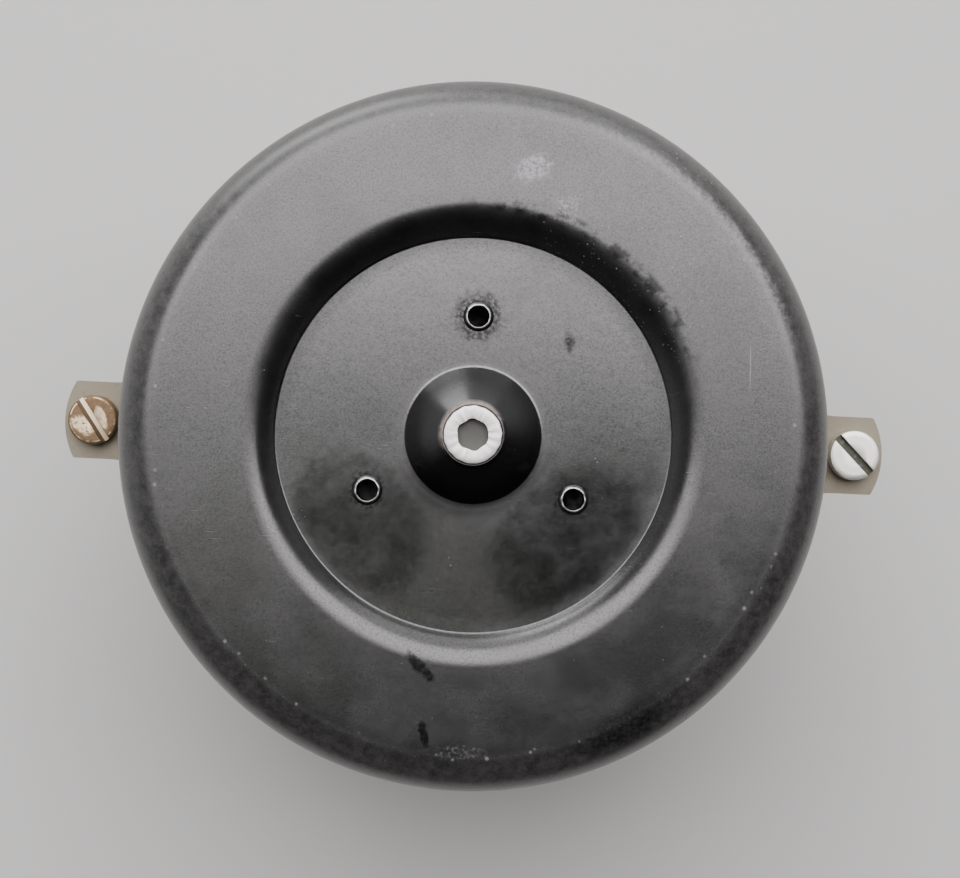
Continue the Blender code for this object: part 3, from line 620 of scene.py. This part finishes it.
def sheet_curve(skirt, depth=0.0):
    """One side of a shell's sheet as (radius, height over its flat face), from its rim to its boss."""
    outer = depth == 0
    bend = RIM_BEND - depth
    side = [(CAN_RADIUS - depth, -skirt)]
    if outer:
        side = [(CAN_RADIUS - 0.35, -skirt), (CAN_RADIUS - 0.1, -skirt + 0.1), (CAN_RADIUS, -skirt + 0.35)]
        side += [(CAN_RADIUS, -skirt + (skirt - RIM_BEND) * step / 5) for step in range(1, 5)]
    side += arc((CAN_RADIUS - RIM_BEND, -RIM_BEND), bend, 0, 90, 20 if outer else 6)
    annulus = CAN_RADIUS - RIM_BEND - RECESS_RADIUS
    side += [(RECESS_RADIUS + annulus * (1 - step / 6), -depth) for step in range(1, 6)]
    side += arc((RECESS_RADIUS, -RECESS_BEND), RECESS_BEND - depth, 90, 90 + RECESS_ANGLE, 18 if outer else 6)
    wall_radius, wall_height = side[-1]
    floor = -RECESS_DEPTH - depth
    foot = wall_radius + (floor - wall_height) / math.tan(math.radians(RECESS_ANGLE))
    if not outer:
        return side + [(foot, floor), (BOSS_RADIUS - depth, floor)]
    fillet = 0.5
    reach = fillet * math.tan(math.radians(RECESS_ANGLE / 2))
    side += arc((foot - reach, floor + fillet), fillet, RECESS_ANGLE - 90, -90, 6)
    inner_edge = BOSS_RADIUS + 0.8
    side += [(inner_edge + (foot - reach - inner_edge) * (1 - step / 8), floor) for step in range(1, 9)]
    return side


def boss_curve(hole, closed_end):
    """A boss from its foot, up its rounded cone and over its crest, to the drawn neck inside it."""
    foot, floor = 0.25, -RECESS_DEPTH
    lean, shoulder = 51, 48  # in degrees: the cone's slope at its foot, and where the crest takes over
    centre = (BOSS_RADIUS + foot * math.tan(math.radians(lean / 2)), floor + foot)
    curve = arc(centre, foot, 270, 270 - lean, 5)
    start = Vector(curve[-1])
    if closed_end:
        crown = 1.53
        edge = hole + 0.1
        turn = math.acos((edge - CREST_RADIUS) / crown + math.cos(math.radians(shoulder)))
        middle = (edge - crown * math.cos(turn), BOSS_TOP - crown * math.sin(turn))
        crest = arc(middle, crown, shoulder, math.degrees(turn), 8)
        crest += [(hole + 0.03, BOSS_TOP - 0.02), (hole, BOSS_TOP - 0.08)]
    else:
        lip = 0.45
        crest = arc((CREST_RADIUS, BOSS_TOP - lip), lip, shoulder, 90, 3)
        crest += arc((hole + lip, BOSS_TOP - lip), lip, 90, 180, 6)
    end = Vector(crest[0])
    chord = end - start
    half = math.degrees(math.asin(chord.length / 2 / BOSS_FLANK))
    across = Vector((chord.y, -chord.x)).normalized()
    middle = (start + end) / 2 - across * BOSS_FLANK * math.cos(math.radians(half))
    outward = math.degrees(math.atan2(-chord.x, chord.y))
    curve += arc(middle, BOSS_FLANK, outward - half, outward + half, 12)[1:]
    neck = BOSS_TOP - NECK_LENGTH
    return curve + crest[1:] + [(hole, neck), (hole + 1.0, neck), (hole + 1.0, BOSS_TOP - 1.5)]


def make_can(name, end, hole, material, holes):
    """A drawn shell, with holes cut through it. end is 1 for the bearing end, and -1 for the shaft end."""
    face_z = FACE_Z if end > 0 else TAIL_Z
    skirt = CAN_HIGH.z - CAN_LOW.z - BOSS_TOP
    profile = sheet_curve(skirt) + boss_curve(hole, end > 0) + sheet_curve(skirt, SHEET)[::-1]
    profile = [(radius, end * height) for radius, height in profile]

    def drawn(radius, height, angle):
        """Pressing leaves the flat face very slightly wavy, and the dip a little off centre."""
        share = min(max((radius - 11) / 10, 0), 1) * min(max((46 - radius) / 6, 0), 1)
        wave = 0.02 * math.sin(2 * angle + 0.7) + 0.012 * math.sin(3 * angle + radius / 9)
        dip = max(0, 1 - abs(radius - RECESS_RADIUS + 1) / 4)
        return radius + 0.2 * dip * math.cos(angle - 0.9), height + end * wave * share

    can = lathe(name, profile, 288, [material], (0, 0, face_z), wobble=drawn, smooth_angle=40)
    reach = 6  # past both sides of the sheet
    for x, y, radius in holes:
        drill = [(0, -reach), (radius, -reach), (radius, reach), (0, reach)]
        cutter = lathe("drill", drill, 64, [], (x, y, face_z - end * RECESS_DEPTH / 2), closed=False)
        cut_with(can, cutter)
    apply_modifiers(can)
    return can


def tapped_places():
    """The middles of the three tapped holes."""
    angles = [math.radians(90 + 120 * index) for index in range(3)]
    return [(TAPPED_CIRCLE * math.cos(a), TAPPED_CIRCLE * math.sin(a)) for a in angles]


def make_tapped_rims(material):
    """The drawn, tapped collars: a scuffed lip above the floor, and thread grooves down the bore."""
    generator = np.random.default_rng(7)
    for index, (x, y) in enumerate(tapped_places()):
        bore, groove, pitch, bottom = 1.32, 0.16, 0.5, -2.3
        profile = [(COLLAR_RADIUS, bottom), (COLLAR_RADIUS, -0.05), (1.94, 0.1), (1.84, 0.145)]
        profile += [(1.68, 0.28), (1.6, 0.34), (1.55, 0.365), (1.5, 0.36), (1.45, 0.31)]
        height = 0.1
        while height > bottom + 0.1:
            profile += [(bore + groove, height), (bore, height - pitch / 2)]
            height -= pitch
        profile.append((bore, bottom))
        phases = generator.uniform(0, 2 * math.pi, 4)

        def scuffed(radius, height, angle, phases=phases):
            """Small nicks in the lip, none below the floor."""
            nicks = sum(math.sin((k + 2) * 2 * angle + p) for k, p in enumerate(phases)) / 4
            lift = max(height, 0) / 0.36
            return radius + 0.03 * nicks * lift, height + 0.03 * nicks * lift

        rim = lathe(f"tapped_rim_{index + 1}", profile, 64, [material], (x, y, FLOOR_Z), wobble=scuffed)
        place_piece(rim, "black_enamel")


def rim_metal():
    """Bare edge of a tapped collar: bright where rubbed, black where enamel is left."""
    s = Surface("tapped_rim_metal", ior=1.8)
    height = s.height_over(FLOOR_Z)
    worn = s.times(s.ramp(height, 0.27, 0.32), s.ramp(s.noise(0.7, 4, 0.7), 0.3, 0.45, 0.35, 1))
    s.set("Base Color", s.mix(worn, (0.004, 0.004, 0.004), (0.62, 0.61, 0.6)))
    s.set("Metallic", worn)
    s.set("Roughness", s.mix(worn, 0.2, 0.28))
    s.bump(s.noise(0.2, 3), 0.01)
    return s.material


# ---------------------------------------------------------------- screws


def threaded_rod(name, radius, pitch, bottom, top, materials, centre):
    """A rod with a real helical thread, closed at both ends."""
    segments, per_pitch = 48, 8
    depth = 0.6 * pitch
    rows = int((top - bottom) / pitch * per_pitch) + 1
    vertices, faces = [], []
    for row in range(rows + 1):
        height = bottom + (top - bottom) * row / rows
        ends = min((height - bottom) / 0.5, 1.0)
        for step in range(segments):
            angle = 2 * math.pi * step / segments
            phase = (height / pitch - step / segments) % 1.0
            groove = depth * min(abs(phase - 0.5) * 2, 0.85)
            r = min(radius - groove, radius - depth + depth * ends)
            vertices.append((r * math.cos(angle), r * math.sin(angle), height))
    for row in range(rows):
        for step in range(segments):
            following = (step + 1) % segments
            low, high = row * segments, (row + 1) * segments
            faces.append((low + step, low + following, high + following, high + step))
    faces.append(tuple(range(segments))[::-1])
    faces.append(tuple(range(rows * segments, (rows + 1) * segments)))
    moved = [(x + centre[0], y + centre[1], z + centre[2]) for x, y, z in vertices]
    return make_object(name, moved, faces, materials, 60)


def make_ear_screw(name, side, material):
    """A slotted cheese head with rounded edges over a threaded M4 shank. The left one is the older."""
    finish = "zinc_plate" if side > 0 else "aged_plate"
    rounding, tilt, width, depth = (0.2, 0.1, 1.08, 0.8) if side > 0 else (0.36, 0.0, 1.25, 1.1)
    low, high = span(name)
    x = (low.x + high.x) / 2
    radius = (high.x - low.x) / 2
    top, seat = high.z, high.z - HEAD_HEIGHT
    profile = [(0, seat), (1.85, seat), (radius - 0.15, seat), (radius, seat + 0.15)]
    profile += arc((radius - rounding - 0.02, top - rounding), rounding, 0, 70, 6)
    profile += [(radius - 0.8, top - 0.004), (radius - 1.6, top), (0, top)]

    def seated(r, height, angle):
        """The right screw stands a little askew."""
        return r, height - tilt * (1 + r / radius * math.sin(angle)) / 2

    head = lathe(name + "_head", profile, 96, [material], (x, 0, 0), closed=False, wobble=seated)
    bm = bmesh.new()
    bmesh.ops.create_cube(bm, size=1)
    bmesh.ops.scale(bm, vec=(12 * MM, width * MM, 2 * depth * MM), verts=bm.verts)
    mesh = bpy.data.meshes.new("slot_cutter")
    bm.to_mesh(mesh)
    bm.free()
    cutter = bpy.data.objects.new("slot_cutter", mesh)
    cutter.location = (x * MM, 0, top * MM)
    cutter.rotation_euler = (0, 0, math.radians(SLOT_TURNS[side]))
    bpy.context.scene.collection.objects.link(cutter)
    cut_with(head, cutter)
    soften(head, 0.07, 2, 50)
    apply_modifiers(head)
    place_piece(head, finish, name)
    shank = threaded_rod(name + "_shank", SHANK_RADIUS, 0.7, low.z, seat - 0.02, [material], (x, 0, 0))
    place_piece(shank, finish)


def make_thrust_screw(material):
    """The end-play set screw, with a hammered face and a worn hex socket."""
    radius, top, bottom = THRUST_HIGH.x, THRUST_HIGH.z, THRUST_LOW.z
    profile = [(0, bottom), (radius - 0.5, bottom), (radius, bottom + 0.5), (radius, top - 0.5)]
    profile += [(radius - 0.03, top - 0.2), (radius - 0.1, top - 0.06), (radius - 0.3, top - 0.01)]
    profile += [(radius - 0.7, top), (0, top)]

    def hammered(r, height, angle):
        """Small dents all round the face's edge."""
        near = max(0.0, 1 - abs(height - top) / 0.7) if r > 1 else 0.0
        dents = math.sin(5 * angle + 1) * math.sin(9 * angle) + 0.6 * math.sin(17 * angle)
        return r + 0.05 * near * (dents - 1.4), height - 0.015 * near * (1.6 + dents)

    screw = lathe("thrust_screw_body", profile, 120, [material], closed=False, wobble=hammered)
    flat, corner = 1.97, 2.1

    def hexagon(r, height, angle):
        """Turns a round into a hexagon with worn corners."""
        turned = (angle + math.radians(22)) % (math.pi / 3) - math.pi / 6
        worn = 1 + 0.012 * math.sin(5 * angle + 1) + 0.01 * math.sin(8 * angle)
        return r * worn * min(flat / math.cos(turned), corner) / flat, height

    profile = [(0, top - 1.3), (flat, top - 1.05), (flat, top + 2), (0, top + 2)]
    socket = lathe("socket_cutter", profile, 72, [], closed=False, wobble=hexagon)
    cut_with(screw, socket)
    soften(screw, 0.12, 3, 60)
    apply_modifiers(screw)
    place_piece(screw, "pale_alloy", "thrust_screw")


# ---------------------------------------------------------------- laminated yoke


def yoke_outline(ring, half_width=5.5, fillet=5.0, bow=11.3):
    """The outline of a lamination: a ring with two ears, filleted at their roots and bowed at their ends."""
    root_y = half_width + fillet
    root_x = math.sqrt(ring**2 - root_y**2) + fillet
    end = YOKE_HIGH.x - 0.06
    bow_angle = math.degrees(math.asin(half_width / bow))
    corner = 0.2
    upper_bow = arc((end - bow, 0), bow, 0, bow_angle - 1, 8)
    side_start = upper_bow[-1][0] - corner
    upper = upper_bow + [(side_start + 0.1, half_width - 0.06), (side_start - 0.15, half_width)]
    upper += [(root_x + (side_start - 0.15 - root_x) * (1 - step / 4), half_width) for step in range(1, 4)]
    upper += arc((root_x, root_y), fillet, 270, 180, 8)
    first = math.degrees(math.atan2(root_y, root_x - fillet))
    ring_part = arc((0, 0), ring, first, 180 - first, 60)[1:-1]
    left = [(-x, y) for x, y in upper[::-1]]
    half = upper + ring_part + left[:-1]
    return half + [(-x, -y) for x, y in half]


def make_yoke(material):
    """A stack of thin sheets, the middle ones with ears, over a plain core inside the shells."""
    band_middle = (YOKE_LOW.z + YOKE_HIGH.z) / 2
    sheet, count, ears = 0.5, 20, range(4, 16)
    gap, chamfer = 0.04, 0.05
    band_low = band_middle - count / 2 * sheet
    ring, inner = CAN_RADIUS - 0.12, 46.4
    eared = yoke_outline(ring)
    generator = np.random.default_rng(3)
    vertices, faces = [], []
    for layer in range(count):
        shift = np.clip(generator.normal(0, 0.02, 2), -0.035, 0.035)
        low = band_low + layer * sheet + gap / 2
        high = low + sheet - gap
        plain = [(x * ring / math.hypot(x, y), y * ring / math.hypot(x, y)) for x, y in eared]
        outline = eared if layer in ears else plain
        base, size = len(vertices), len(outline)
        for height, inset in ((low, 0.04), (low + chamfer, 0), (high - chamfer, 0), (high, 0.04)):
            for x, y in outline:
                shrink = 1 - inset / math.hypot(x, y)
                vertices.append((x * shrink + shift[0], y * shrink + shift[1], height))
        for height in (high, low):
            pulled = [(x * inner / math.hypot(x, y), y * inner / math.hypot(x, y)) for x, y in outline]
            vertices += [(x, y, height) for x, y in pulled]
        for level in range(6):
            first, second = base + level * size, base + (level + 1) % 6 * size
            for step in range(size):
                following = (step + 1) % size
                faces.append((first + step, first + following, second + following, second + step))
    yoke = fix_normals(make_object("yoke_laminations", vertices, faces, [material], 30))
    bore = SHANK_RADIUS + 0.25
    drill = [(0, -3), (bore, -3), (bore, 9), (0, 9)]
    for x in (-SCREW_X, SCREW_X):
        cut_with(yoke, lathe("drill", drill, 48, [], (x, 0, 0), closed=False))
    apply_modifiers(yoke, 30)
    place_piece(yoke, "lamination_steel", "yoke_ring")
    hollow, skin = 37.5, 46.2
    core = [(hollow, YOKE_LOW.z), (skin, YOKE_LOW.z), (skin, YOKE_HIGH.z), (hollow, YOKE_HIGH.z)]
    place_piece(lathe("yoke_core", core, 192, [material]), "lamination_steel")


# ---------------------------------------------------------------- shaft end


def make_pulley(material):
    """The stepped pulley: a clamping collar, then a flange and a slightly tapered step for each speed."""
    top, bottom = PULLEY_HIGH.z, PULLEY_LOW.z
    bore = 2.06
    profile = [(bore, top), (5.6, top), (5.85, top - 0.1), (6.0, top - 0.35), (6.0, top - 4.4)]
    height = top - 4.5
    flange, length = 0.8, 6.0
    for radius in (7.0, 4.05, 3.0):
        edge = radius + 0.5
        profile += [(edge - 0.15, height), (edge, height - 0.15), (edge, height - 0.65)]
        height -= flange
        profile += [(edge - 0.12, height), (radius + 0.12, height)]
        profile += [(radius + 0.02 - 0.12 * step / 6, height - 0.12 - 5.7 * step / 6) for step in range(7)]
        height -= length
    profile += [(2.8, bottom + 0.12), (2.65, bottom), (bore, bottom)]
    pulley = lathe("pulley_body", profile, 128, [material])
    low, high = span("grub_screw_1")
    raised = Matrix.Translation((0, 0, (low.z + high.z) / 2 * MM))
    tipped = Matrix.Rotation(math.pi / 2, 4, "Y")
    grub_radius = 1.35
    drill = [(0, 2.3), (grub_radius, 2.3), (grub_radius, 8), (0, 8)]
    for turn in (0.0, math.radians(120)):
        cutter = lathe("drill", drill, 40, [], closed=False)
        cutter.matrix_world = raised @ Matrix.Rotation(turn, 4, "Z") @ tipped
        cut_with(pulley, cutter)
    apply_modifiers(pulley, 25)
    place_piece(pulley, "turned_brass", "drive_pulley", body="rotor")


def make_shaft(material):
    """The ground shaft, thicker where the rotor's core sits."""
    low, high = SHAFT_LOW.z, SHAFT_HIGH.z
    thick_low, thick_high = TAIL_Z + 10.0, FACE_Z - 10.0
    profile = [(0, low), (1.7, low), (1.95, low + 0.15), (2.0, low + 0.4), (2.0, thick_low), (3.0, thick_low)]
    profile += [(3.0, thick_high), (2.0, thick_high), (2.0, high - 0.4), (1.7, high), (0, high)]
    shaft = lathe("shaft_body", profile, 96, [material], closed=False)
    place_piece(shaft, "ground_steel", "rotor_shaft", body="rotor")


def make_grommet(material):
    """The rubber grommet: a grooved ring with rounded lips, in the shaft end's hole."""
    low, high = GROMMET_LOW.z, GROMMET_HIGH.z
    profile = [(2.0, high - 0.3), (2.3, high), (4.7, high)]
    profile += [(5.4, high - 0.4), (5.5, high - 0.9), (5.3, high - 1.2)]
    profile += [(4.0, high - 1.25), (4.0, low + 1.25), (5.3, low + 1.2), (5.5, low + 0.9), (5.3, low + 0.35)]
    profile += [(4.6, low), (2.5, low), (2.15, low + 0.15), (2.0, low + 0.5)]
    grommet = lathe("grommet_body", profile, 96, [material], (0, GROMMET_Y, 0))
    place_piece(grommet, "black_rubber", "lead_grommet")


# ---------------------------------------------------------------- camera, light and floor

# The camera: its distance from the can's face, turns in degrees, lens, and where it sees the face's middle
CAMERA_DISTANCE = 300.0
CAMERA_ROLL = 2.7
CAMERA_TILT = 0.8
SENSOR_WIDTH = 36.0
LENS = 85.3875
RIM_OFFSET = (-0.93, 0.53)


def make_camera():
    """Looks down the motor's axis at the closed end, a little rolled and tilted."""
    data = bpy.data.cameras.new("camera")
    data.sensor_width = SENSOR_WIDTH
    data.lens = LENS
    data.clip_start = 0.01
    data.clip_end = 50
    camera = bpy.data.objects.new("camera", data)
    roll = Matrix.Rotation(math.radians(CAMERA_ROLL), 3, "Z")
    turn = roll @ Matrix.Rotation(math.radians(CAMERA_TILT), 3, "X")
    rim = Vector((0, 0, FACE_Z))
    seen = Vector((*RIM_OFFSET, -CAMERA_DISTANCE))
    camera.rotation_euler = turn.to_euler()
    camera.location = (rim - turn @ seen) * MM
    bpy.context.scene.collection.objects.link(camera)
    bpy.context.scene.camera = camera


def make_panel(name, place, size, radiance, target=(0, 0, 0), colour=(1, 1, 1)):
    """A soft rectangular light, in metres, turned to face its target. Radiance sets its brightness."""
    data = bpy.data.lights.new(name, "AREA")
    data.shape = "RECTANGLE"
    data.size, data.size_y = size
    data.energy = radiance * math.pi * size[0] * size[1]
    data.color = colour
    light = bpy.data.objects.new(name, data)
    light.location = place
    direction = Vector(target) - Vector(place)
    light.rotation_euler = direction.to_track_quat("-Z", "Y").to_euler()
    bpy.context.scene.collection.objects.link(light)


def make_lights():
    """Four panels at ceiling height, facing down, and two standing beyond the motor, facing it."""
    height = 1.15
    warm, green, white = (1, 0.955, 0.975), (0.97, 1, 0.9), (1, 1, 1)
    overhead = (
        ("ceiling_panel", (0.0, 0.61), (1.5, 1.04), 5.0, warm),
        ("overhead_panel", (-0.05, 0.047), (1.1, 0.086), 1.9, white),
        ("left_panel", (-0.24, -0.06), (0.28, 0.12), 0.9, green),
        ("wedge_panel", (-0.012, -0.08), (0.055, 0.07), 2.0, green),
    )
    for name, middle, size, radiance, colour in overhead:
        make_panel(name, (*middle, height), size, radiance, target=(*middle, 0), colour=colour)
    make_panel("far_wall_panel", (0.0, 1.27, 0.64), (1.75, 0.84), 1.6)
    make_panel("window_panel", (-0.62, 1.1, 0.27), (0.85, 0.5), 3.9)


def make_world():
    """A dim room, brighter towards the horizon than overhead, and brighter on its +Y side."""
    world = bpy.data.worlds.new("studio")
    world.use_nodes = True
    tree = world.node_tree
    background = tree.nodes["Background"]
    background.inputs["Color"].default_value = (0.95, 0.97, 1.0, 1)
    heading = tree.nodes.new("ShaderNodeTexCoord")
    parts = tree.nodes.new("ShaderNodeSeparateXYZ")
    fall = tree.nodes.new("ShaderNodeMapRange")
    tree.links.new(heading.outputs["Generated"], parts.inputs[0])
    tree.links.new(parts.outputs["Z"], fall.inputs["Value"])
    fall.inputs["From Max"].default_value = 0.75
    fall.inputs["To Min"].default_value = 0.4
    fall.inputs["To Max"].default_value = 0.04
    facing = tree.nodes.new("ShaderNodeVectorMath")
    facing.operation = "DOT_PRODUCT"
    tree.links.new(heading.outputs["Generated"], facing.inputs[0])
    bright_side = math.radians(108)
    facing.inputs[1].default_value = (math.cos(bright_side), math.sin(bright_side), 0)
    share = tree.nodes.new("ShaderNodeMapRange")
    share.interpolation_type = "SMOOTHSTEP"
    tree.links.new(facing.outputs["Value"], share.inputs["Value"])
    share.inputs["From Min"].default_value = -0.45
    share.inputs["From Max"].default_value = 0.3
    share.inputs["To Min"].default_value = 0.25
    share.inputs["To Max"].default_value = 1.9
    strength = tree.nodes.new("ShaderNodeMath")
    strength.operation = "MULTIPLY"
    tree.links.new(fall.outputs["Result"], strength.inputs[0])
    tree.links.new(share.outputs["Result"], strength.inputs[1])
    tree.links.new(strength.outputs[0], background.inputs["Strength"])
    bpy.context.scene.world = world


def make_floor():
    """A plain pale table top, just below the shaft's end."""
    bm = bmesh.new()
    bmesh.ops.create_grid(bm, x_segments=2, y_segments=2, size=5)
    mesh = bpy.data.meshes.new("floor")
    bm.to_mesh(mesh)
    bm.free()
    floor = bpy.data.objects.new("floor", mesh)
    floor.location.z = (SHAFT_LOW.z - 0.5) * MM
    bpy.context.scene.collection.objects.link(floor)
    material = bpy.data.materials.new("floor_paper")
    material.use_nodes = True
    shader = material.node_tree.nodes["Principled BSDF"]
    shader.inputs["Base Color"].default_value = (0.74, 0.74, 0.72, 1)
    shader.inputs["Roughness"].default_value = 0.75
    mesh.materials.append(material)


def dress_nodes(looks):
    """Gives every CAD node that stays its finish."""
    slots = {entry["node"]: entry["material_slot"] for entry in frame["record"]["subparts"]}
    for name, node in frame["nodes"].items():
        node.data.materials.clear()
        node.data.materials.append(looks[slots[name]])


def make_motor(looks):
    """Every piece that is seen from outside."""
    tapped = [(x, y, COLLAR_RADIUS + 0.02) for x, y in tapped_places()]
    can = make_can("bearing_end_can", 1, 3.92, looks["black_enamel"], tapped)
    place_piece(can, "black_enamel", "bearing_end_shell")
    make_tapped_rims(rim_metal())
    tail = make_can("shaft_end_can", -1, 3.0, tail_enamel(), [(0, GROMMET_Y, 4.0)])
    place_piece(tail, "black_enamel", "shaft_end_shell")
    make_thrust_screw(looks["pale_alloy"])
    make_ear_screw("ear_screw_left", -1, looks["aged_plate"])
    make_ear_screw("ear_screw_right", 1, looks["zinc_plate"])
    make_yoke(looks["lamination_steel"])
    make_pulley(looks["turned_brass"])
    make_shaft(looks["ground_steel"])
    make_grommet(looks["black_rubber"])


looks = finishes()
dress_nodes(looks)
make_motor(looks)
make_camera()
make_world()
make_floor()
make_lights()
